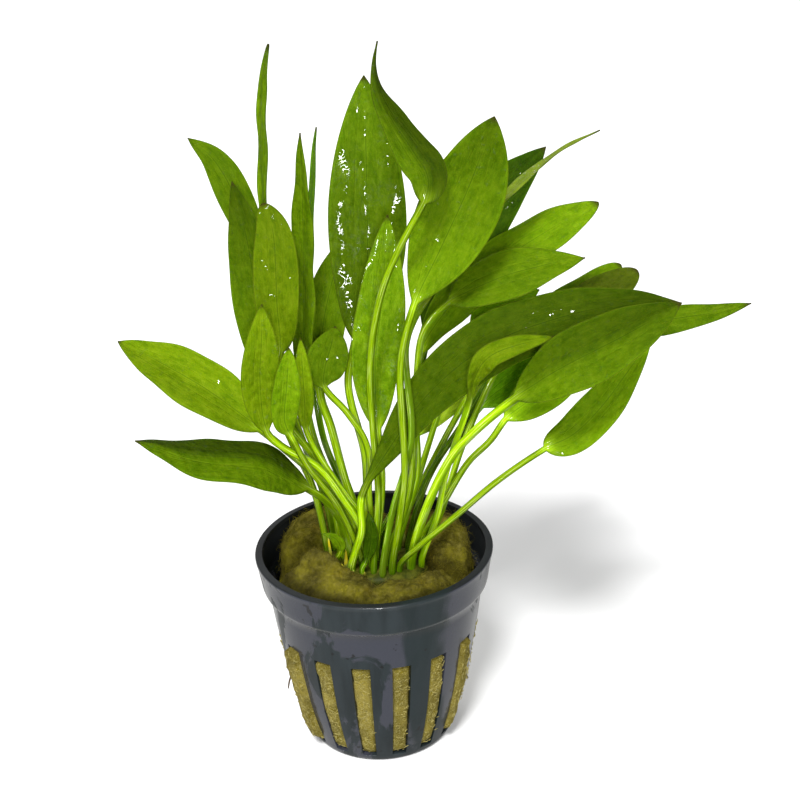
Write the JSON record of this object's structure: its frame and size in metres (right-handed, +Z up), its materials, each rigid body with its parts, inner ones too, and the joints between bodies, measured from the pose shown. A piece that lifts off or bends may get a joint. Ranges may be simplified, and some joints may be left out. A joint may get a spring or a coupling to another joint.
{
  "type": "potted aquarium plant",
  "caption": "Rosette aquarium plant with stalked lance-shaped leaves rising from a crown bedded in rock wool inside a round tapered pot with slotted walls.",
  "frame": {"origin": "centre of the pot's underside, on the surface it stands on", "axes": "+Z up along the pot's axis, -Y towards the viewer in front, +X to the viewer's right"},
  "size_m": [0.1381, 0.0657, 0.159],
  "materials": {
    "pot_plastic": "slate blue-black moulded plastic, wet and glossy",
    "rock_wool": "damp fibrous wool, olive yellow",
    "crown_flesh": "damp brown-green crown",
    "leaf_green": "bright green living leaf with a wet sheen",
    "root_bark": "dark brown root"
  },
  "bodies": {
    "root": {"net_pot": "pot_plastic", "wool_front": "rock_wool", "wool_left": "rock_wool", "wool_right": "rock_wool", "crown": "crown_flesh", "root_left": "root_bark", "root_right": "root_bark", "leaf_left_low": "leaf_green", "leaf_left_mid": "leaf_green", "leaf_left_inner": "leaf_green", "leaf_left_upper": "leaf_green", "leaf_left_dark": "leaf_green", "leaf_ribbon_left": "leaf_green", "leaf_left_arch": "leaf_green", "leaf_narrow_near": "leaf_green", "leaf_narrow_far": "leaf_green", "leaf_behind_left": "leaf_green", "leaf_centre_big": "leaf_green", "leaf_centre_lower": "leaf_green", "leaf_top_curl": "leaf_green", "leaf_centre_right": "leaf_green", "leaf_right_back": "leaf_green", "leaf_right_ribbon": "leaf_green", "leaf_right_upper": "leaf_green", "leaf_right_mid": "leaf_green", "leaf_right_lower": "leaf_green", "leaf_far_back_left": "leaf_green", "leaf_far_back_right": "leaf_green", "leaf_long_right": "leaf_green", "leaf_right_front": "leaf_green", "leaf_far_right": "leaf_green", "leaf_right_droop": "leaf_green", "leaf_under_front": "leaf_green", "leaf_shaded_right": "leaf_green", "leaf_olive_back": "leaf_green", "leaf_bent_narrow": "leaf_green", "leaf_folded_left": "leaf_green", "leaf_narrow_low": "leaf_green", "leaf_centre_left_low": "leaf_green", "leaf_short_dark": "leaf_green", "leaf_small_shoot": "leaf_green"}
  },
  "joints": []
}
